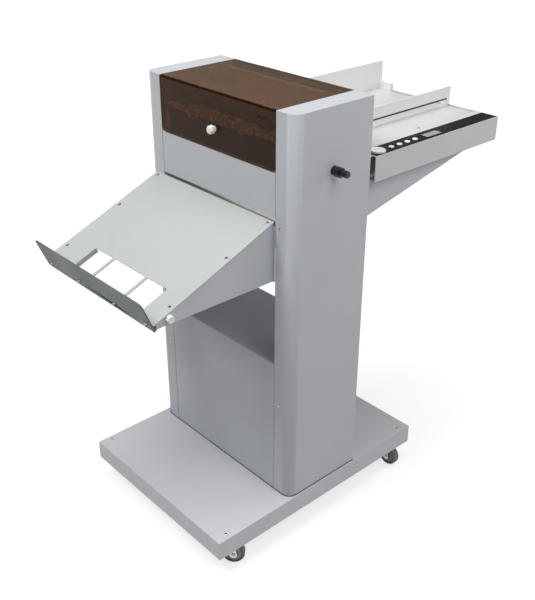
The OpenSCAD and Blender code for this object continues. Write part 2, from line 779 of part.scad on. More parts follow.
module stop_knob(side) {
    inward = gusset_t + arm_t + 3 * fit;
    translate([tray_side(side) + side * fit, 0, 0]) on_tray() translate([0, -stud_s, stud_h]) rotate([0, side * 90, 0]) {
        difference() {
            cylinder(r = 7.5, h = 10);
            for (a = [0 : 45 : 315]) rotate([0, 0, a]) translate([8.6, 0, 1]) cylinder(r = 2, h = 10);
        }
        translate([0, 0, -inward - 4]) cylinder(r = stud_r, h = inward + 6);
        translate([0, 0, -inward - fit - 2.4]) cylinder(r = 4.6, h = 2.4, $fn = 6);
    }
}

module stop_knob_left() machine() color("white") stop_knob(-1);

module stop_knob_right() machine() color("white") stop_knob(1);

// ---- feed table ----

module button_places(extra) {
    translate([start_x, start_y, 0]) cylinder(r = start_r + extra, h = 30, center = true);
    for (i = [0 : 3]) translate([button_x, buttons_y + i * button_pitch, 0])
        cylinder(r = button_r + extra, h = 30, center = true);
}

module table_rail_profile() {
    translate([table_w / 2 - table_sheet, table_z - rail_side_h]) square([table_sheet, rail_side_h]);
    translate([table_w / 2 - 24, table_z - rail_side_h]) square([24, table_sheet]);
}

module feed_table() machine() color(light) difference() {
    long = table_rear - table_front;
    union() {
        translate([-table_w / 2, table_front, table_z - table_sheet]) cube([table_w, long, table_sheet]);
        translate([-inner_x + 10, 62, table_z - table_sheet])
            cube([2 * inner_x - 20, table_front - 61, table_sheet]);
        both_sides() translate([0, table_rear, 0]) rotate([90, 0, 0]) linear_extrude(long) table_rail_profile();
        translate([-table_w / 2 + 26, table_rear - table_sheet, table_z - 14]) cube([table_w - 52, table_sheet, 13]);
    }
    translate([0, 0, table_z]) button_places(0.3);
    translate([(right_guide_x + left_guide_x) / 2, slot_y, table_z - table_sheet - 1])
        linear_extrude(table_sheet + 2) stadium(right_guide_x - left_guide_x + 150, slot_w);
    both_sides() translate([table_screw_x, table_screw_y, table_z - table_sheet - 1])
        cylinder(r = screw_r + fit, h = table_sheet + 2);
}

module table_bracket() machine() color(grey) difference() {
    side = bracket_side;
    reach = max(side, inner_x + 23);
    y0 = rear_y + fit;
    under = table_z - table_sheet - fit;
    union() {
        for (x = [-side, side - 2]) along_x(x, 2) polygon([
            [y0, 703], [y0, under - 10], [table_front + 52, under - 10], [table_front + 52, under - 1],
            [table_rear - 24, under - 1], [table_rear - 24, 791]
        ]);
        translate([-reach, y0, 703]) cube([2 * reach, 2, 138]);
        both_sides() translate([side - 40, table_front + 52, under - 2]) cube([39, table_rear - table_front - 76, 2]);
    }
    both_sides() translate([table_screw_x, table_screw_y, under - 3]) cylinder(r = screw_r + fit, h = 4);
    bracket_screw_places() translate([0, 0, -8]) cylinder(r = screw_r + fit, h = 9);
}

module bracket_screw_places() {
    both_sides() for (z = bracket_screw_z) translate([inner_x + 10, rear_y + fit + 2, z]) rotate([-90, 0, 0])
        children();
}

module guide_foot(x0, w) {
    floor_z = table_z + fit;
    translate([x0, slot_y - 6, floor_z]) cube([w, 12, 17]);
    translate([x0 + 1, slot_y - slot_w / 2 + fit, table_z - table_sheet - 3])
        cube([w - 2, slot_w - 2 * fit, table_sheet + 4]);
    translate([x0, slot_y - 7, table_z - table_sheet - fit - 3]) cube([w, 14, 3]);
}

module left_guide() machine() color(light) {
    translate([left_guide_x - 2, 0, 0]) rotate([90, 0, 90]) linear_extrude(2) difference() {
        translate([table_front + 4, table_z + fit]) square([slot_y - table_front + 2, left_guide_h - fit]);
        translate([table_front + 3, table_z + left_guide_h - 8]) square([9, 9]);
    }
    translate([left_guide_x - 2, table_front + 12, table_z + left_guide_h - 8]) rotate([0, 90, 0])
        cylinder(r = 8, h = 2);
    guide_foot(left_guide_x - 2, 40);
}

module right_guide() machine() color(light) {
    translate([right_guide_x, table_front + 4, table_z + 15]) cube([2, slot_y - table_front + 2, right_guide_h - 15]);
    guide_foot(right_guide_x - 15, 17);
    translate([right_guide_x - 15, table_front + 6, table_z + fit]) cube([17, 12, 17]);
}

// ---- controls ----

module control_strip() machine() color("#17181a") difference() {
    translate([strip_x, strip_y, table_z]) cube([strip_w, strip_l, strip_t]);
    translate([0, 0, table_z]) button_places(0.3);
    translate([button_x - display_w / 2, display_y, table_z - 1]) cube([display_w, display_l, 3]);
}

module display_window() machine() color("#9da3a6")
    translate([button_x - display_w / 2 + fit / 2, display_y + fit / 2, table_z])
        cube([display_w - fit, display_l - fit, strip_t + 0.2]);

module push_button(x, y, r, rise) {
    translate([x, y, table_z]) rotate_extrude() polygon([
        [0, -6], [r + 0.9, -6], [r + 0.9, -4.3], [r, -4.3], [r, rise - 1], [r - 0.3, rise - 0.4],
        [r - 0.9, rise], [r - 2.2, rise], [r - 3, rise - 0.5], [0, rise - 0.8]
    ]);
}

module start_button() machine() color("white") push_button(start_x, start_y, start_r, 4);

module small_button(i) machine() color("white")
    push_button(button_x, buttons_y + (i - 1) * button_pitch, button_r, 2.4);

// ---- tinted cover ----

module cover_profile() {
    b = acrylic_bend;
    difference() {
        union() {
            translate([front_y + b, top_z - acrylic]) square([body_d - b - 1, acrylic]);
            intersection() {
                translate([front_y + b, top_z - b]) circle(b);
                translate([front_y, top_z - b]) square([b, b]);
            }
        }
        translate([front_y + b, top_z - b]) circle(b - acrylic);
    }
}

module top_cover() machine() color([0.30, 0.20, 0.14, 0.6]) difference() {
    w = 2 * (inner_x - cover_gap);
    low = panel_high + 0.5;
    high = top_z - acrylic_bend;
    union() {
        along_x(-w / 2, w) cover_profile();
        translate([0, front_y + acrylic, high]) rotate([90, 0, 0]) linear_extrude(acrylic)
            mirror([0, 1]) round_top(w, high - low, acrylic_corner);
    }
    translate([0, front_y + 5, knob_z]) rotate([90, 0, 0]) cylinder(r = 2.6, h = 10);
}

module cover_knob() machine() color("white") translate([0, front_y - 0.05, knob_z]) rotate([90, 0, 0]) {
    rotate_extrude($fn = 8) polygon([
        [0, 0], [knob_r - 3, 0], [knob_r - 3, 3], [knob_r, 5.5], [knob_r, knob_len - 4],
        [knob_r - 2.5, knob_len], [0, knob_len]
    ]);
    translate([0, 0, -acrylic - 1]) cylinder(r = 2.5, h = acrylic + 2);
}

module cover_hinges() machine() color("#222224") difference() {
    translate([-inner_x + 2, hinge_y - 6, hinge_z - 6]) cube([2 * inner_x - 4, 12, 12.5]);
    both_sides() bar_x(hinge_y, hinge_z, pin_r + run, inner_x - 23, inner_x);
}

module cover_pins() machine() color("silver") both_sides() {
    bar_x(hinge_y, hinge_z, pin_r, inner_x - 16, inner_x + frame_t + 4);
    bar_x(hinge_y, hinge_z, pin_r + 2, inner_x + frame_t + fit, inner_x + frame_t + 4);
}

// ---- fasteners ----

module screw() {
    rotate_extrude() polygon([
        [0, -6], [screw_r, -6], [screw_r, 0.02], [head_r, 0.02], [head_r - 0.2, 1],
        [head_r - 1.2, 1.8], [0, 2.1]
    ]);
}

// A countersunk screw, its head just under the sheet's face.
module flush_screw() {
    rotate_extrude() polygon([
        [0, -6], [screw_r, -6], [screw_r, -tray_sheet], [head_r - fit, -0.1], [0, -0.1]
    ]);
}

module panel_screws() machine() color("silver") {
    at_base_corners(base_w / 2 - base_screw_in_x, base_d / 2 - base_screw_in_y) translate([0, 0, base_top]) screw();
    both_sides() front_screw_places() screw();
    tray_screw_places() flush_screw();
    both_sides() translate([table_screw_x, table_screw_y, table_z]) screw();
    bracket_screw_places() screw();
    for (x = [-88, 31]) translate([x, tie_y + 14, tie_z + 35]) screw();
}

// ---- mains inlet ----

module inlet_hole() {
    translate([inlet_x - 31, rear_y - 6, inlet_z - 16]) cube([62, 12, 32]);
}

module power_inlet() machine() color("#202022") difference() {
    union() {
        translate([inlet_x - 36, rear_y + 0.02, inlet_z - 20]) cube([72, 2, 40]);
        translate([inlet_x - 30, rear_y - 26, inlet_z - 15]) cube([60, 27, 30]);
    }
    translate([inlet_x - 8, rear_y - 16, inlet_z - 10]) difference() {
        cube([32, 20, 20]);
        for (x = [8, 16, 24]) translate([x - 1, -1, x == 16 ? 11 : 6]) cube([2, 14, 5]);
    }
    translate([inlet_x - 26, rear_y - 9, inlet_z - 12]) cube([14, 13, 24]);
}

module power_switch() machine() color("#303034") {
    along_x(inlet_x - 25.5, 13) translate([rear_y - 1, inlet_z]) rotate(8) polygon([
        [-3, -9], [1.5, -10.5], [4.6, -9.5], [3.4, 0], [4.6, 9.5], [1.5, 10.5], [-3, 9]
    ]);
    bar_x(rear_y - 1, inlet_z, 1.5, inlet_x - 25.9, inlet_x - 12.1);
}

base_pan();
base_rails();
caster_plates();
caster_fork(0);  // caster_fork_1
caster_fork(1);  // caster_fork_2
caster_fork(2);  // caster_fork_3
caster_fork(3);  // caster_fork_4
caster_wheel(0);  // caster_wheel_1
caster_wheel(1);  // caster_wheel_2
caster_wheel(2);  // caster_wheel_3
caster_wheel(3);  // caster_wheel_4
left_side_frame();
right_side_frame();
left_side_cover();
right_side_cover();
lower_cabinet();
front_panel();
rear_panel();
top_beam();
bed_beam();
paper_chute();
shaft_bearings();
crease_motor();
feed_motor();
feed_belt();
tray_bracket();
tray_deck();
paper_stop();
stop_knob_left();
stop_knob_right();
table_bracket();
feed_table();
left_guide();
right_guide();
control_strip();
display_window();
start_button();
small_button(1);  // button_1
small_button(2);  // button_2
small_button(3);  // button_3
small_button(4);  // button_4
panel_screws();
cover_pins();
cover_hinges();
top_cover();
cover_knob();
feed_shaft();
feed_wheels();
upper_shaft();
upper_rollers();
upper_gear();
hand_knob();
lower_shaft();
lower_rollers();
lower_gear();
eccentric_shaft();
knife_beam();
crease_blade();
power_inlet();
power_switch();
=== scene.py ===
import math

import bmesh
import bpy
from mathutils import Matrix, Vector


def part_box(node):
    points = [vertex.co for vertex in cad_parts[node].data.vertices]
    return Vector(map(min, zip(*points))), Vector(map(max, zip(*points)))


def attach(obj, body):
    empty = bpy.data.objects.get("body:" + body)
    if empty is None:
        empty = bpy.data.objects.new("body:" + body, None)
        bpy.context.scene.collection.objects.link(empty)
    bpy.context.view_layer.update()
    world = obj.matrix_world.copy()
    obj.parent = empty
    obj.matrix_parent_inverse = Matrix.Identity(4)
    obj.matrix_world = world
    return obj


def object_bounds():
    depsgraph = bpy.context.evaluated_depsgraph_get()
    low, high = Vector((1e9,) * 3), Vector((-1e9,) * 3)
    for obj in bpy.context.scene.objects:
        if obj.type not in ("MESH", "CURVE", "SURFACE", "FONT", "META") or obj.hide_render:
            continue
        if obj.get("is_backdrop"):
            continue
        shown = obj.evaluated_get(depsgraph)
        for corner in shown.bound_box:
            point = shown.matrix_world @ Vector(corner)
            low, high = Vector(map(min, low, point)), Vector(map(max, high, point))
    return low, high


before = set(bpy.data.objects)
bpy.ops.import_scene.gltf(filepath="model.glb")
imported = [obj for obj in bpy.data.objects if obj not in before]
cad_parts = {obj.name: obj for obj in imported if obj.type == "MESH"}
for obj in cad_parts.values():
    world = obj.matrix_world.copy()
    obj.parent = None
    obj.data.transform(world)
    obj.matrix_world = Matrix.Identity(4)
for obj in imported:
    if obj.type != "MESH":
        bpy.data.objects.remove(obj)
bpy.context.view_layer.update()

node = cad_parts


# Base platform. A sheet steel pan with a folded skirt, powder coated a light blue-grey.
# The coating is a thin baked film: slightly pebbled, a little uneven in gloss, and dusty
# where it lies flat. Two zinc plated channels are fixed below it to take the casters.
def sheen(red, green, blue):
    """A paint chip's 0 to 255 reading as the shader's colour."""
    chip = [c / 255 for c in (red, green, blue)]
    linear = [c / 12.92 if c <= 0.04045 else ((c + 0.055) / 1.055) ** 2.4 for c in chip]
    return (*linear, 1.0)


def effect(name, takes):
    """A shared node group that works out a surface's colour, roughness and relief."""
    group = bpy.data.node_groups.new(name, "ShaderNodeTree")
    for label, kind, start in takes:
        socket = group.interface.new_socket(label, in_out="INPUT", socket_type=kind)
        socket.default_value = start
    for label, kind in (("Color", "NodeSocketColor"), ("Roughness", "NodeSocketFloat"),
                        ("Height", "NodeSocketFloat")):
        group.interface.new_socket(label, in_out="OUTPUT", socket_type=kind)
    taken = group.nodes.new("NodeGroupInput").outputs
    given = group.nodes.new("NodeGroupOutput").inputs
    return group, taken, given


def feed(tree, part, socket):
    """Links another node's output to a socket, or sets a plain number or colour on it."""
    if hasattr(part, "is_output"):
        tree.links.new(part, socket)
    else:
        socket.default_value = part


def own_place(tree):
    """Where a point lies in its own piece, in metres."""
    return tree.nodes.new("ShaderNodeTexCoord").outputs["Object"]


def facing(tree):
    """Which way the surface faces, as X, Y and Z."""
    parts = tree.nodes.new("ShaderNodeSeparateXYZ")
    tree.links.new(tree.nodes.new("ShaderNodeNewGeometry").outputs["Normal"], parts.inputs[0])
    return parts.outputs


def noise(tree, coordinates, scale, detail=3.0, rough=0.5):
    n = tree.nodes.new("ShaderNodeTexNoise")
    feed(tree, scale, n.inputs["Scale"])
    n.inputs["Detail"].default_value = detail
    n.inputs["Roughness"].default_value = rough
    tree.links.new(coordinates, n.inputs["Vector"])
    return n.outputs["Fac"]


def spread(tree, value, low, high, from_low=0.3, from_high=0.7):
    """A value's range stretched to another, and held at its ends."""
    m = tree.nodes.new("ShaderNodeMapRange")
    m.inputs["From Min"].default_value = from_low
    m.inputs["From Max"].default_value = from_high
    m.inputs["To Min"].default_value = low
    m.inputs["To Max"].default_value = high
    tree.links.new(value, m.inputs["Value"])
    return m.outputs["Result"]


def sums(tree, operation, first, second):
    m = tree.nodes.new("ShaderNodeMath")
    m.operation = operation
    feed(tree, first, m.inputs[0])
    feed(tree, second, m.inputs[1])
    return m.outputs["Value"]


def blended(tree, share, first, second):
    """One colour turned into another by a share from 0 to 1."""
    m = tree.nodes.new("ShaderNodeMix")
    m.data_type = "RGBA"
    factor, first_colour, second_colour, mixed = m.inputs[0], m.inputs[6], m.inputs[7], m.outputs[2]
    feed(tree, share, factor)
    feed(tree, first, first_colour)
    feed(tree, second, second_colour)
    return mixed


def shaded(tree, colour, value):
    """A colour made darker or lighter by a value about 1."""
    n = tree.nodes.new("ShaderNodeHueSaturation")
    tree.links.new(colour, n.inputs["Color"])
    tree.links.new(value, n.inputs["Value"])
    return n.outputs["Color"]


powder_coat, taken, given = effect("powder_coat", [
    ("Color", "NodeSocketColor", (0.5, 0.5, 0.5, 1)),
    ("Gloss", "NodeSocketFloat", 0.42),
    ("Unevenness", "NodeSocketFloat", 0.06),
    ("Dust", "NodeSocketFloat", 0.1),
])
place = own_place(powder_coat)
cloudy = spread(powder_coat, noise(powder_coat, place, 4.5, 4.0), -1.0, 1.0)
speck = spread(powder_coat, noise(powder_coat, place, 420.0, 2.0), -0.012, 0.012)
value = sums(powder_coat, "MULTIPLY", cloudy, taken["Unevenness"])
value = sums(powder_coat, "ADD", sums(powder_coat, "ADD", value, speck), 1.0)
upward = spread(powder_coat, facing(powder_coat)["Z"], 0.0, 1.0, 0.6, 0.98)
patchy = spread(powder_coat, noise(powder_coat, place, 26.0, 6.0, 0.65), 0.0, 1.0, 0.45, 0.75)
dust = sums(powder_coat, "MULTIPLY", sums(powder_coat, "MULTIPLY", upward, patchy), taken["Dust"])
dust_colour = (0.62, 0.61, 0.58, 1)
feed(powder_coat,
     blended(powder_coat, dust, shaded(powder_coat, taken["Color"], value), dust_colour),
     given["Color"])
flow = spread(powder_coat, noise(powder_coat, place, 11.0, 5.0), -0.05, 0.07)
film = sums(powder_coat, "ADD", taken["Gloss"], flow)
feed(powder_coat,
     sums(powder_coat, "ADD", film, sums(powder_coat, "MULTIPLY", dust, 0.5)),
     given["Roughness"])
feed(powder_coat, noise(powder_coat, place, 950.0, 2.0, 0.6), given["Height"])


def finish_of(name, group, depth, strength, own=None, **values):
    """A material whose colour, roughness and relief come from one of the shared effects.

    The relief has a depth in metres and a strength. What is the same all over goes in own,
    by the names of the shader's own sockets.
    """
    made = bpy.data.materials.new(name)
    made.use_nodes = True
    tree = made.node_tree
    shader = tree.nodes["Principled BSDF"]
    for label, value in (own or {}).items():
        shader.inputs[label].default_value = value
    shared = tree.nodes.new("ShaderNodeGroup")
    shared.node_tree = group
    for label, value in values.items():
        shared.inputs[label].default_value = value
    relief = tree.nodes.new("ShaderNodeBump")
    relief.inputs["Distance"].default_value = depth
    relief.inputs["Strength"].default_value = strength
    tree.links.new(shared.outputs["Color"], shader.inputs["Base Color"])
    tree.links.new(shared.outputs["Roughness"], shader.inputs["Roughness"])
    tree.links.new(shared.outputs["Height"], relief.inputs["Height"])
    tree.links.new(relief.outputs["Normal"], shader.inputs["Normal"])
    return made


def dress(material, *names):
    """Gives the named nodes one material."""
    for n in names:
        mesh = node[n].data
        mesh.materials.clear()
        mesh.materials.append(material)


def ease_edges(width, *names):
    """The small radius that folding and coating leave on a sheet's edges."""
    for n in names:
        weld = node[n].modifiers.new("weld", "WELD")
        weld.merge_threshold = 0.00001
        ease = node[n].modifiers.new("ease", "BEVEL")
        ease.width = width
        ease.segments = 2
        ease.limit_method = "ANGLE"
        ease.angle_limit = math.radians(40)
        ease.harden_normals = True


platform_coat = finish_of("platform_coat", powder_coat, 0.00012, 0.55,
                          Color=sheen(200, 202, 206), Gloss=0.46, Unevenness=0.03, Dust=0.28)
dress(platform_coat, "base_pan")

zinc_plate, taken, given = effect("zinc_plate", [
    ("Color", "NodeSocketColor", (0.5, 0.5, 0.5, 1)),
    ("Gloss", "NodeSocketFloat", 0.36),
    ("Spangle", "NodeSocketFloat", 0.12),
])
place = own_place(zinc_plate)
crystals = zinc_plate.nodes.new("ShaderNodeTexVoronoi")
crystals.inputs["Scale"].default_value = 95.0
zinc_plate.links.new(place, crystals.inputs["Vector"])
flake = zinc_plate.nodes.new("ShaderNodeSeparateColor")
zinc_plate.links.new(crystals.outputs["Color"], flake.inputs[0])
bright = spread(zinc_plate, flake.outputs[0], -1.0, 1.0, 0.0, 1.0)
value = sums(zinc_plate, "ADD", 1.0, sums(zinc_plate, "MULTIPLY", taken["Spangle"], bright))
dull = spread(zinc_plate, flake.outputs[1], -0.08, 0.1, 0.0, 1.0)
feed(zinc_plate, shaded(zinc_plate, taken["Color"], value), given["Color"])
feed(zinc_plate, sums(zinc_plate, "ADD", taken["Gloss"], dull), given["Roughness"])
feed(zinc_plate, noise(zinc_plate, place, 500.0), given["Height"])

zinc_sheet = finish_of("zinc_sheet", zinc_plate, 0.00006, 0.4, {"Metallic": 0.85},
                       Color=sheen(196, 197, 198), Gloss=0.36, Spangle=0.10)
dress(zinc_sheet, "base_rails")


# Casters. A pressed fork turns on a pin under its plate, and a grey tread wheel with a
# moulded hub runs on the axle between the legs. The fork is zinc plated and the tread is
# scuffed and picks up dirt from the floor.
def placed(name, bm, matrix, material, body, smooth=False):
    """The finished mesh as a piece that rides on one of the machine's bodies."""
    mesh = bpy.data.meshes.new(name)
    bmesh.ops.recalc_face_normals(bm, faces=bm.faces)
    bmesh.ops.transform(bm, matrix=matrix, verts=bm.verts)
    bm.to_mesh(mesh)
    bm.free()
    mesh.materials.append(material)
    piece = bpy.data.objects.new(name, mesh)
    bpy.context.scene.collection.objects.link(piece)
    if smooth:
        for face in mesh.polygons:
            face.use_smooth = True
        mesh.set_sharp_from_angle(angle=math.radians(32))
    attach(piece, body)


def turned(name, outline, centre, axis, material, body, steps=48):
    """A revolved piece: outline is (radius, height) along the axis, in metres."""
    bm = bmesh.new()
    angles = [2 * math.pi * i / steps for i in range(steps)]
    rings = []
    for radius, height in outline:
        if radius == 0:
            rings.append([bm.verts.new((0, 0, height))])
        else:
            rings.append([bm.verts.new((radius * math.cos(a), radius * math.sin(a), height))
                          for a in angles])
    for low, high in zip(rings, rings[1:]):
        for i in range(steps):
            j = (i + 1) % steps
            if len(low) == 1:
                bm.faces.new((low[0], high[j], high[i]))
            elif len(high) == 1:
                bm.faces.new((low[i], low[j], high[0]))
            else:
                bm.faces.new((low[i], low[j], high[j], high[i]))
    bmesh.ops.remove_doubles(bm, verts=bm.verts, dist=0.000001)
    turn = Vector((0, 0, 1)).rotation_difference(Vector(axis)).to_matrix().to_4x4()
    placed(name, bm, Matrix.Translation(centre) @ turn, material, body, smooth=True)


def half_width(points, middle, way):
    """How far the points reach on either side of their middle, along a direction."""
    return max(abs((p - middle).dot(way)) for p in points)


worn_rubber, taken, given = effect("worn_rubber", [
    ("Color", "NodeSocketColor", (0.1, 0.1, 0.1, 1)),
    ("Scuff", "NodeSocketColor", (0.3, 0.29, 0.27, 1)),
    ("Wear", "NodeSocketFloat", 0.35),
    ("Gloss", "NodeSocketFloat", 0.62),
])
place = own_place(worn_rubber)
patchy = spread(worn_rubber, noise(worn_rubber, place, 70.0, 7.0, 0.7), 0.0, 1.0, 0.42, 0.7)
rubbed = sums(worn_rubber, "MULTIPLY", taken["Wear"], patchy)
feed(worn_rubber, blended(worn_rubber, rubbed, taken["Color"], taken["Scuff"]), given["Color"])
feed(worn_rubber,
     sums(worn_rubber, "ADD", taken["Gloss"], sums(worn_rubber, "MULTIPLY", rubbed, 0.3)),
     given["Roughness"])
feed(worn_rubber, noise(worn_rubber, place, 900.0, 4.0, 0.7), given["Height"])

grey_tread = finish_of("grey_tread", worn_rubber, 0.0002, 0.6, Color=sheen(98, 100, 100),
                       Scuff=sheen(140, 138, 133), Wear=0.5, Gloss=0.5)
wheel_web = finish_of("wheel_web", worn_rubber, 0.0001, 0.4, Color=sheen(150, 152, 153),
                      Scuff=sheen(120, 118, 114), Wear=0.4, Gloss=0.45)
bright_zinc = finish_of("bright_zinc", zinc_plate, 0.00005, 0.3, {"Metallic": 0.9},
                        Color=sheen(206, 206, 205), Gloss=0.26, Spangle=0.05)
dress(bright_zinc, "caster_plates")

web_outline = [(0.0101, -0.0001), (0.0103, 0.0016), (0.0125, 0.0008), (0.0165, 0.0008),
               (0.0183, 0.002), (0.0189, -0.0001), (0.0101, -0.0001)]
web_sunk = 0.0045
nut_outline = [(0.0, 0.0042), (0.0022, 0.0038), (0.0034, 0.0026), (0.0052, 0.0024),
               (0.0052, 0.0), (0.0, 0.0)]
nut_proud = 0.0026
trial_count = 36
trial_angles = [step * math.pi / trial_count for step in range(trial_count)]
trials = [Vector((math.cos(a), math.sin(a), 0)) for a in trial_angles]
for i in range(1, 5):
    dress(bright_zinc, f"caster_fork_{i}")
    dress(grey_tread, f"caster_wheel_{i}")
    low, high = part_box(f"caster_wheel_{i}")
    hub = (Vector(low) + Vector(high)) / 2
    rim = [v.co for v in node[f"caster_wheel_{i}"].data.vertices]
    axle = min(trials, key=lambda way: half_width(rim, hub, way))
    hub_half = half_width(rim, hub, axle)
    for side, outward in (("inner", -axle), ("outer", axle)):
        turned(f"caster_web_{i}_{side}", web_outline, hub + outward * (hub_half - web_sunk),
               outward, wheel_web, f"wheel_{i}")
        turned(f"axle_nut_{i}_{side}", nut_outline, hub + outward * (hub_half + nut_proud),
               outward, bright_zinc, f"fork_{i}", steps=6)


# Side housings. Each is a tall box folded from one sheet, with a large radius rolled into
# its front outer corner and a closed top. It hangs on a zinc plated frame plate that
# carries the bearings. Both housings have the platform's coating, a little darker.
blue_grey_coat = finish_of("blue_grey_coat", powder_coat, 0.00012, 0.55,
                           Color=sheen(190, 193, 198), Gloss=0.46, Unevenness=0.02, Dust=0.10)
dress(blue_grey_coat, "left_side_cover", "right_side_cover")
dress(zinc_sheet, "left_side_frame", "right_side_frame")
ease_edges(0.0005, "left_side_cover", "right_side_cover")


# Cabinet and panels. The low cabinet is one sheet bent over at its front and rear top
# edges. A narrow panel closes the front above the exit slit, and another closes the rear
# above and below the feed slot.
dress(blue_grey_coat, "lower_cabinet", "front_panel", "rear_panel")
ease_edges(0.0004, "lower_cabinet", "front_panel", "rear_panel")


# Foot shadow. A thin dark strip runs round the foot of the housings and the cabinet, where
# they stand on the platform: painted shadow, for the shade in the gap there. It shows as a dark
# line.
def banded(bm, path, level, section):
    """A closed band whose section, as (outward, up), follows a flat path at a level.

    The path is a list of (X, Y), each with its own outward direction.
    """
    rows = [[bm.verts.new((x + nx * out, y + ny * out, level + up)) for out, up in section]
            for (x, y), (nx, ny) in path]
    for near, far in zip(rows, rows[1:] + rows[:1]):
        for i in range(len(section)):
            j = (i + 1) % len(section)
            bm.faces.new((near[i], near[j], far[j], far[i]))


shadow_band = bmesh.new()
band_proud, band_height, band_thick = 0.0006, 0.0022, 0.0012
band_section = [(-band_thick, 0.0), (0.0, 0.0), (0.0, band_height), (-band_thick, band_height)]
corner_radius, corner_steps = 0.022, 8
platform_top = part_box("lower_cabinet")[0][2]
for name, side in (("left_side_cover", -1), ("right_side_cover", 1)):
    low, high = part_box(name)
    outer, inner = (high[0], low[0]) if side > 0 else (low[0], high[0])
    diagonal = math.sqrt(0.5)
    path = [((outer + side * band_proud, high[1] + band_proud), (side * diagonal, diagonal))]
    for step in range(corner_steps + 1):
        a = math.pi / 2 * step / corner_steps
        across, along = side * math.cos(a), -math.sin(a)
        path.append(((outer - side * corner_radius + (corner_radius + band_proud) * across,
                      low[1] + corner_radius + (corner_radius + band_proud) * along),
                     (across, along)))
    path.append(((inner, low[1] - band_proud), (0, -1)))
    path.append(((inner, high[1] + band_proud), (0, 1)))
    banded(shadow_band, path, platform_top, band_section)
low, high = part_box("lower_cabinet")
front, rear = low[1] - band_proud, high[1] + band_proud
banded(shadow_band, [((low[0], front), (0, -1)), ((high[0], front), (0, -1)),
              ((high[0], rear), (0, 1)), ((low[0], rear), (0, 1))], platform_top, band_section)
# Painted shadow: the strip's near-black colour stands for the shade where the sheets meet the
# platform.
shadow_band_dark = finish_of("shadow_band_dark", worn_rubber, 0.0001, 0.4, Color=sheen(52, 53, 55),
                        Scuff=sheen(92, 90, 86), Wear=0.3, Gloss=0.6)
placed("painted_foot_shadow", shadow_band, Matrix.Identity(4), shadow_band_dark, "machine")


# Creasing head. A steel knife beam slides between the frames and carries the thin ground
# blade; the beam is coloured near black, as painted shade for the dark inside of the cover.
# Eccentric discs on the shaft above press it down into the grooved bed, and the slotted tie
# beam behind keeps the frames square.
turned_steel, taken, given = effect("turned_steel", [
    ("Color", "NodeSocketColor", (0.6, 0.6, 0.6, 1)),
    ("Lay", "NodeSocketVector", (900.0, 12.0, 12.0)),
    ("Gloss", "NodeSocketFloat", 0.22),
])
place = own_place(turned_steel)
laid = turned_steel.nodes.new("ShaderNodeVectorMath")
laid.operation = "MULTIPLY"
turned_steel.links.new(place, laid.inputs[0])
turned_steel.links.new(taken["Lay"], laid.inputs[1])
lines = noise(turned_steel, laid.outputs[0], 1.0, 4.0, 0.6)
stain = noise(turned_steel, place, 22.0, 5.0)
value = sums(turned_steel, "ADD", spread(turned_steel, lines, -0.07, 0.07),
             spread(turned_steel, stain, 0.92, 1.06))
feed(turned_steel, shaded(turned_steel, taken["Color"], value), given["Color"])
feed(turned_steel,
     sums(turned_steel, "ADD", taken["Gloss"], spread(turned_steel, lines, -0.05, 0.12)),
     given["Roughness"])
feed(turned_steel, lines, given["Height"])

shaft_steel = finish_of("shaft_steel", turned_steel, 0.00002, 0.5, {"Metallic": 0.7},
                        Color=sheen(208, 207, 204), Lay=(900.0, 10.0, 10.0), Gloss=0.24)
ground_steel = finish_of("ground_steel", turned_steel, 0.00002, 0.5, {"Metallic": 0.9},
                         Color=sheen(214, 212, 208), Lay=(14.0, 900.0, 900.0), Gloss=0.3)
# Painted shade: the knife beam's near-black colour stands for the dark inside of the cover.
shade_dark_steel = finish_of("shade_dark_steel", turned_steel, 0.00002, 0.5,
                            Color=sheen(52, 50, 48), Lay=(14.0, 240.0, 240.0), Gloss=0.5)
satin_black = finish_of("satin_black_coat", powder_coat, 0.0001, 0.5,
                        Color=sheen(38, 38, 40), Gloss=0.42, Unevenness=0.05, Dust=0.12)
dress(shaft_steel, "eccentric_shaft")
dress(shade_dark_steel, "knife_beam")
dress(ground_steel, "crease_blade", "bed_beam")
dress(zinc_sheet, "top_beam", "paper_chute")
dress(satin_black, "crease_motor", "feed_motor")


# Transport. Two shafts carry ground rubber rollers that draw the sheet through, tied by a
# pair of steel gears outside the left frame. A belt drives the feed shaft and its two soft
# wheels from the upper one. All run in bronze bushes.
hobbed_steel = finish_of("hobbed_steel", turned_steel, 0.00002, 0.5, {"Metallic": 1.0},
                         Color=sheen(190, 189, 185), Lay=(900.0, 30.0, 30.0), Gloss=0.3)
roller_rubber = finish_of("roller_rubber", worn_rubber, 0.00015, 0.5, Color=sheen(44, 43, 42),
                          Scuff=sheen(96, 92, 86), Wear=0.35, Gloss=0.55)
bronze = finish_of("sintered_bronze", turned_steel, 0.00003, 0.6, {"Metallic": 1.0},
                   Color=sheen(186, 148, 96), Lay=(300.0, 300.0, 300.0), Gloss=0.38)
dress(shaft_steel, "feed_shaft", "upper_shaft", "lower_shaft")
dress(hobbed_steel, "upper_gear", "lower_gear")
dress(roller_rubber, "feed_wheels", "upper_rollers", "lower_rollers", "feed_belt")
dress(bronze, "shaft_bearings")


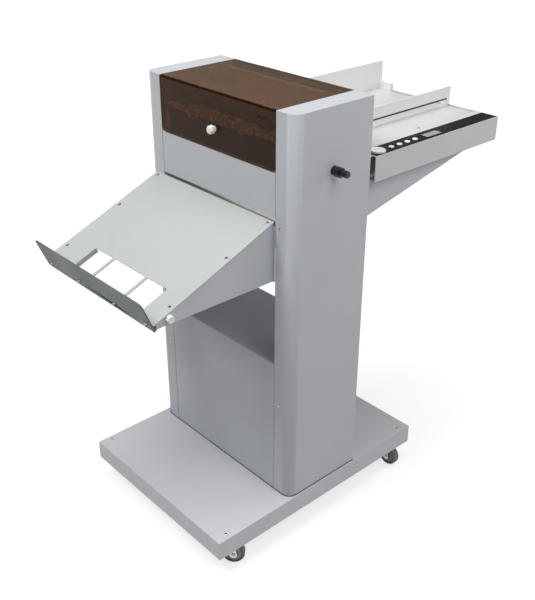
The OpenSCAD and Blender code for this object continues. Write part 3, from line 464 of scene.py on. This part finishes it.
# Tinted cover. One sheet of smoked brown acrylic, heat bent over the front edge, with
# polished edges and fine rubbing marks. It lifts by a white faceted knob and swings at the
# rear on a black hinge block, whose steel pins pass through the side frames.
fine_marks, taken, given = effect("fine_marks", [
    ("Color", "NodeSocketColor", (0.5, 0.4, 0.3, 1)),
    ("Dusty", "NodeSocketColor", (0.6, 0.5, 0.4, 1)),
    ("Edge", "NodeSocketColor", (0.2, 0.15, 0.1, 1)),
    ("Gloss", "NodeSocketFloat", 0.04),
    ("Marks", "NodeSocketFloat", 0.06),
])
place = own_place(fine_marks)
haze = noise(fine_marks, place, 9.0, 6.0, 0.6)
hair = fine_marks.nodes.new("ShaderNodeTexWave")
hair.inputs["Scale"].default_value = 22.0
hair.inputs["Distortion"].default_value = 14.0
hair.inputs["Detail"].default_value = 4.0
hair.inputs["Detail Scale"].default_value = 2.5
fine_marks.links.new(place, hair.inputs["Vector"])
rubs = sums(fine_marks, "ADD", spread(fine_marks, hair.outputs["Fac"], 0.0, 1.0, 0.985, 1.0),
            spread(fine_marks, haze, 0.0, 0.8, 0.5, 0.8))
rubs = sums(fine_marks, "MULTIPLY", rubs, taken["Marks"])
way = facing(fine_marks)
face_on = sums(fine_marks, "MAXIMUM", sums(fine_marks, "ABSOLUTE", way["Z"], 0.0),
               sums(fine_marks, "ABSOLUTE", way["Y"], 0.0))
# Faces that look neither up nor to the front, the sheet's side edges and the band along the bend,
# take a near-black colour: painted shade.
colour = blended(fine_marks, spread(fine_marks, face_on, 0.0, 1.0, 0.8, 0.97),
                 taken["Edge"], taken["Color"])
# Faces that look up take a lighter colour: painted light, for the sheen of the light on the cover's
# top.
colour = blended(fine_marks, spread(fine_marks, way["Z"], 0.0, 1.0, 0.9, 0.99),
                 colour, taken["Dusty"])
feed(fine_marks, shaded(fine_marks, colour, spread(fine_marks, haze, 0.94, 1.06)), given["Color"])
feed(fine_marks, sums(fine_marks, "ADD", taken["Gloss"], rubs), given["Roughness"])
feed(fine_marks, haze, given["Height"])

moulded, taken, given = effect("moulded_plastic", [
    ("Color", "NodeSocketColor", (0.5, 0.5, 0.5, 1)),
    ("Gloss", "NodeSocketFloat", 0.4),
    ("Grain", "NodeSocketFloat", 1600.0),
])
place = own_place(moulded)
flow = noise(moulded, place, 60.0)
feed(moulded, shaded(moulded, taken["Color"], spread(moulded, flow, 0.96, 1.03)), given["Color"])
feed(moulded, sums(moulded, "ADD", taken["Gloss"], spread(moulded, flow, -0.04, 0.06)),
     given["Roughness"])
feed(moulded, noise(moulded, place, taken["Grain"], 2.0), given["Height"])

# Painted light: the cover's top takes a lighter colour for the sheen of the light on it.
smoked_acrylic = finish_of("smoked_acrylic", fine_marks, 0.0001, 0.08,
                           {"Transmission Weight": 0.955, "IOR": 1.17},
                           Color=(0.33, 0.18, 0.093, 1), Dusty=(0.86, 0.56, 0.34, 1),
                           Edge=(0.03, 0.016, 0.01, 1), Gloss=0.02, Marks=0.05)
white_plastic = finish_of("white_moulding", moulded, 0.00004, 0.3,
                          Color=sheen(236, 236, 232), Gloss=0.3, Grain=1200.0)
black_plastic = finish_of("black_moulding", moulded, 0.00006, 0.5,
                          Color=sheen(19, 19, 20), Gloss=0.36, Grain=1500.0)
dress(smoked_acrylic, "top_cover")
dress(white_plastic, "cover_knob")
dress(black_plastic, "cover_hinges")
dress(shaft_steel, "cover_pins")


# Hand knob. A black three-lobed moulding pressed on the end of the upper transport shaft,
# for turning a jammed sheet out by hand. Its narrow tail is bored for the shaft.
dress(black_plastic, "hand_knob")


# Delivery tray. A pale deck slides creased sheets down to a dark stop plate. The stop is
# carried by two slotted arms that white thumb knobs clamp to the tray's side gussets.
pale_coat = finish_of("pale_coat", powder_coat, 0.0001, 0.5,
                      Color=sheen(179, 183, 180), Gloss=0.42, Unevenness=0.02, Dust=0.06)
dark_coat = finish_of("dark_coat", powder_coat, 0.00012, 0.6,
                      Color=sheen(92, 99, 100), Gloss=0.5, Unevenness=0.03, Dust=0.08)
dress(pale_coat, "tray_deck")
dress(dark_coat, "paper_stop")
dress(blue_grey_coat, "tray_bracket")
dress(white_plastic, "stop_knob_left", "stop_knob_right")
ease_edges(0.0004, "tray_deck", "paper_stop", "tray_bracket")


# Feed table. A flat pale deck with deep folded sides rests on a bracket behind the machine.
# Two side guides slide along a slot at its rear edge to suit the paper's width. A black
# strip runs along the lower edge of the right one's outer face, where a dark line shows.
def drawn(name, section, start, length, material, body):
    """A strip of one section, given as (X, Z) about its start, that runs back along Y."""
    bm = bmesh.new()
    ends = [[bm.verts.new((x, y, z)) for x, z in section] for y in (0.0, length)]
    for i in range(len(section)):
        j = (i + 1) % len(section)
        bm.faces.new((ends[0][i], ends[0][j], ends[1][j], ends[1][i]))
    for end in ends:
        bm.faces.new(end)
    placed(name, bm, Matrix.Translation(start), material, body)


table_coat = finish_of("table_coat", powder_coat, 0.0001, 0.5,
                       Color=sheen(200, 201, 201), Gloss=0.4, Unevenness=0.03, Dust=0.08)
guide_coat = finish_of("guide_coat", powder_coat, 0.0001, 0.5,
                       Color=sheen(230, 231, 229), Gloss=0.4, Unevenness=0.02, Dust=0.04)
dress(table_coat, "feed_table")
dress(guide_coat, "left_guide", "right_guide")
dress(blue_grey_coat, "table_bracket")
# The dark line along the right guide's lower edge is drawn as a black strip.
dark_strip_section = [(-0.0027, -0.0008), (0.0007, -0.0008), (0.0007, 0.0028), (0.0001, 0.0028),
                  (0.0001, 0.0001), (-0.0021, 0.0001), (-0.0021, 0.0028), (-0.0027, 0.0028)]
dark_strip_start, dark_strip_short, dark_strip_drop = 0.0145, 0.028, 0.029
low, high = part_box("right_guide")
drawn("guide_dark_strip", dark_strip_section, (high[0], low[1] + dark_strip_start, high[2] - dark_strip_drop),
      high[1] - low[1] - dark_strip_short, roller_rubber, "guide_right")
ease_edges(0.0004, "feed_table", "left_guide", "right_guide", "table_bracket")


# Control strip. A glossy black film over the right of the deck, with one large and four
# small white push buttons through it and a pale display window. It is left bare.
black_film = finish_of("black_film", moulded, 0.00003, 0.25, {"Specular IOR Level": 0.15},
                       Color=sheen(11, 11, 12), Gloss=0.34, Grain=2200.0)
# Painted shade: the window's side faces take a darker colour.
pale_window = finish_of("pale_window", fine_marks, 0.00002, 0.1, {"Specular IOR Level": 0.3},
                        Color=sheen(146, 152, 154), Dusty=sheen(146, 152, 154),
                        Edge=sheen(120, 126, 128), Gloss=0.3, Marks=0.1)
dress(black_film, "control_strip")
dress(white_plastic, "start_button", "button_1", "button_2", "button_3", "button_4")
dress(pale_window, "display_window")
low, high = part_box("display_window")
bezel = bmesh.new()
bezel_section = [(0.0016, -0.0003), (0.0014, 0.0003), (-0.0006, 0.0003), (-0.0006, -0.0003)]
banded(bezel, [((low[0], low[1]), (-1, -1)), ((high[0], low[1]), (1, -1)),
               ((high[0], high[1]), (1, 1)), ((low[0], high[1]), (-1, 1))], high[2], bezel_section)
placed("display_bezel", bezel, Matrix.Identity(4), black_film, "machine")


# Fasteners. Bright pan head screws hold the panels, the tray and the table. Each head has a
# cross recess for the driver, which stands at whatever angle the screw came tight. The cross
# is drawn as a thin dark piece on the head: painted shade, for the shade inside the recess.
def loose_parts(mesh):
    """The points of each separate solid in a mesh."""
    bm = bmesh.new()
    bm.from_mesh(mesh)
    bmesh.ops.remove_doubles(bm, verts=bm.verts, dist=0.00001)
    bm.verts.index_update()
    met, parts = set(), []
    for first in bm.verts:
        if first.index in met:
            continue
        part, ahead = [], [first]
        met.add(first.index)
        while ahead:
            v = ahead.pop()
            part.append(v.co.copy())
            for w in (edge.other_vert(v) for edge in v.link_edges):
                if w.index not in met:
                    met.add(w.index)
                    ahead.append(w)
        parts.append(part)
    bm.free()
    return parts


def crown_of(screw, ways):
    """The middle of a screw's head, the way it faces, and whether the head is domed.

    Of the ways given, it faces the one against which its tail ends in the narrowest circle.
    """
    within, round_count = 0.00002, 12
    best, narrowest = None, math.inf
    for way in ways:
        depth = [c.dot(way) for c in screw]
        tail = [c for c, d in zip(screw, depth) if d < min(depth) + within]
        middle = sum(tail, Vector()) / len(tail)
        wide = max((c - middle).length for c in tail)
        if len(tail) >= round_count and wide < narrowest:
            domed = sum(d > max(depth) - within for d in depth) == 1
            best = (middle + way * (max(depth) - min(depth)), way, domed)
            narrowest = wide
    return best


screw_steel = finish_of("screw_steel", turned_steel, 0.00002, 0.3, {"Metallic": 1.0},
                        Color=sheen(205, 204, 200), Lay=(500.0, 500.0, 500.0), Gloss=0.24)
# Painted shade: the recess's dark colour stands for the shade inside it.
recess_shade = finish_of("recess_shade", turned_steel, 0.00001, 0.2, {"Metallic": 0.6},
                          Color=sheen(70, 69, 67), Lay=(800.0, 800.0, 800.0), Gloss=0.5)
dress(screw_steel, "panel_screws")
tray_slope = math.radians(22)
screw_ways = [Vector(w) for w in ((0, -1, 0), (0, 1, 0), (0, 0, 1),
                                  (0, -math.sin(tray_slope), math.cos(tray_slope)))]
arm, arm_half = 0.0016, 0.00035
cross_proud, cross_sunk, dome_fall = 0.00005, 0.0004, 0.00016
plan = []
for quarter in range(4):
    c, s = math.cos(quarter * math.pi / 2), math.sin(quarter * math.pi / 2)
    for u, v in ((arm_half, arm_half), (arm, arm_half), (arm, -arm_half)):
        plan.append((u * c + v * s, v * c - u * s, u == arm))
crosses = bmesh.new()
tightened, tightened_step = 0.0, 0.4
for screw in loose_parts(node["panel_screws"].data):
    crown, way, domed = crown_of(screw, screw_ways)
    tightened += tightened_step * len(screw)
    turn = Vector((0, 0, 1)).rotation_difference(way).to_matrix().to_4x4()
    seat = Matrix.Translation(crown) @ turn @ Matrix.Rotation(tightened, 4, "Z")
    fall = dome_fall if domed else 0.0
    lid = [crosses.verts.new(seat @ Vector((x, y, cross_proud - (fall if tip else 0.0))))
           for x, y, tip in plan]
    foot = [crosses.verts.new(seat @ Vector((x, y, -cross_sunk))) for x, y, tip in plan]
    centre = crosses.verts.new(seat @ Vector((0, 0, cross_proud)))
    for i in range(len(plan)):
        j = (i + 1) % len(plan)
        crosses.faces.new((lid[i], lid[j], centre))
        crosses.faces.new((lid[j], lid[i], foot[i], foot[j]))
placed("recess_shades", crosses, Matrix.Identity(4), recess_shade, "machine")


# Mains inlet. A black moulded socket with a rocker switch in the same housing, let into the
# cabinet's rear, low down. No cord is plugged in.
dress(black_plastic, "power_inlet")
dress(satin_black, "power_switch")


# Studio. A wide pale floor that fades to white and a surround that the camera sees as white,
# and four large soft lamps: one high in front, a weaker one on each of the right and the
# rear, and one overhead.
floor_half = 30.0
floor_mesh = bpy.data.meshes.new("floor")
floor_mesh.from_pydata([(-floor_half, -floor_half, 0), (floor_half, -floor_half, 0),
                        (floor_half, floor_half, 0), (-floor_half, floor_half, 0)],
                       [], [(0, 1, 2, 3)])
floor = bpy.data.objects.new("floor", floor_mesh)
bpy.context.scene.collection.objects.link(floor)
floor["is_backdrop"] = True
floor_white = bpy.data.materials.new("floor_white")
floor_white.use_nodes = True
tree = floor_white.node_tree
shader = tree.nodes["Principled BSDF"]
shader.inputs["Base Color"].default_value = (0.4, 0.4, 0.4, 1)
shader.inputs["Roughness"].default_value = 0.9
shader.inputs["Specular IOR Level"].default_value = 0.1
shader.inputs["Emission Color"].default_value = (1, 1, 1, 1)
rays = tree.nodes.new("ShaderNodeLightPath").outputs
seen = sums(tree, "MAXIMUM", rays["Is Camera Ray"],
            sums(tree, "MAXIMUM", rays["Is Glossy Ray"], rays["Is Transmission Ray"]))
away = tree.nodes.new("ShaderNodeVectorMath")
away.operation = "LENGTH"
tree.links.new(tree.nodes.new("ShaderNodeNewGeometry").outputs["Position"], away.inputs[0])
fade_from, fade_to = 0.7, 3.5
lift = spread(tree, away.outputs["Value"], 0.7, 0.92, fade_from, fade_to)
tree.links.new(sums(tree, "MULTIPLY", seen, lift), shader.inputs["Emission Strength"])
floor_mesh.materials.append(floor_white)

world = bpy.data.worlds.new("studio")
bpy.context.scene.world = world
world.use_nodes = True
tree = world.node_tree
sky = tree.nodes["Background"]
sky.inputs["Color"].default_value = (1, 1, 1, 1)
rays = tree.nodes.new("ShaderNodeLightPath").outputs
room, white = 0.23, 1.0
tree.links.new(spread(tree, rays["Is Camera Ray"], room, white, 0.0, 1.0), sky.inputs["Strength"])


def soft_lamp(name, spot, aim, size, watts):
    lamp = bpy.data.lights.new(name, "AREA")
    lamp.shape = "DISK"
    lamp.size = size
    lamp.energy = watts
    holder = bpy.data.objects.new(name, lamp)
    holder.location = spot
    holder.rotation_mode = "QUATERNION"
    holder.rotation_quaternion = (Vector(aim) - Vector(spot)).to_track_quat("-Z", "Y")
    bpy.context.scene.collection.objects.link(holder)


soft_lamp("front_left", (-0.4, -1.9, 3.3), (0, 0, 0.9), 1.6, 68)
soft_lamp("right_side", (1.7, -0.1, 2.2), (0, 0.1, 0.9), 1.3, 16.5)
soft_lamp("rear_fill", (1.5, 2.6, 1.4), (0, 0, 0.5), 1.4, 15)
soft_lamp("overhead", (0.2, 0.3, 8.0), (0, 0, 0.5), 4.5, 225)


# Camera. It stands to the front right, above the machine, and looks down at it as the
# photograph's did. Its place and angles were fitted to the machine's straight edges.
shot = bpy.data.cameras.new("shot")
shot.sensor_width = 36.0
shot.lens = 51.66
shot.shift_x = 0.0171
shot.shift_y = -0.0008
shot.clip_end = 100
eye = bpy.data.objects.new("shot", shot)
bpy.context.scene.collection.objects.link(eye)
stand = Vector((1.27872, -1.193333, 1.41114))
yaw, pitch, roll = math.radians(48.55), math.radians(28.39), math.radians(-0.25)
ahead = Vector((-math.sin(yaw) * math.cos(pitch), math.cos(yaw) * math.cos(pitch),
                -math.sin(pitch)))
level = Vector((math.cos(yaw), math.sin(yaw), 0))
plumb = level.cross(ahead)
across = level * math.cos(roll) + plumb * math.sin(roll)
upright = plumb * math.cos(roll) - level * math.sin(roll)
eye.matrix_world = Matrix((
    (across.x, upright.x, -ahead.x, stand.x),
    (across.y, upright.y, -ahead.y, stand.y),
    (across.z, upright.z, -ahead.z, stand.z),
    (0, 0, 0, 1),
))
bpy.context.scene.camera = eye
bpy.context.scene.view_settings.view_transform = "Standard"

low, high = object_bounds()
